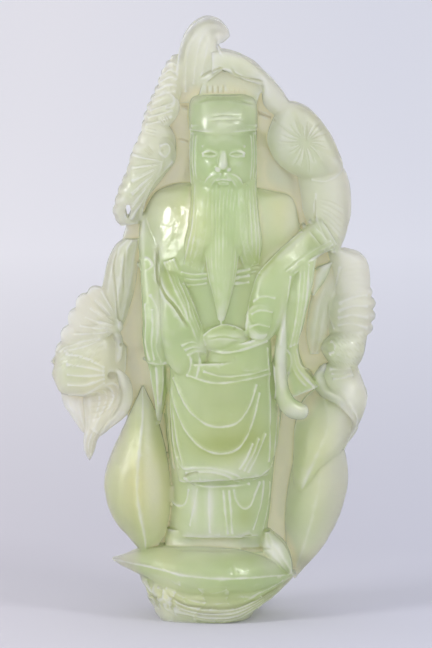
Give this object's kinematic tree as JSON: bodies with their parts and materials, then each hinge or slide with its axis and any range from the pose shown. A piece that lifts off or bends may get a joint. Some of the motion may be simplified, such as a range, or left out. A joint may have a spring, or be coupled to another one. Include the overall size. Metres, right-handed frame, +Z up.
{
  "type": "jade immortal figure",
  "caption": "Carved pale green stone statue of a bearded immortal in long robes, set among leaves, a curled lotus leaf and three bats on a rock, for a shelf or an altar table.",
  "frame": {"origin": "on the ground, under the middle of the carving's bounding box", "axes": "+Z up, +X to the viewer's right, and the figure faces -Y"},
  "size_m": [0.1718, 0.0788, 0.32],
  "materials": {
    "jade": "polished"
  },
  "bodies": {
    "root": {"jade_immortal": "jade"}
  },
  "joints": []
}
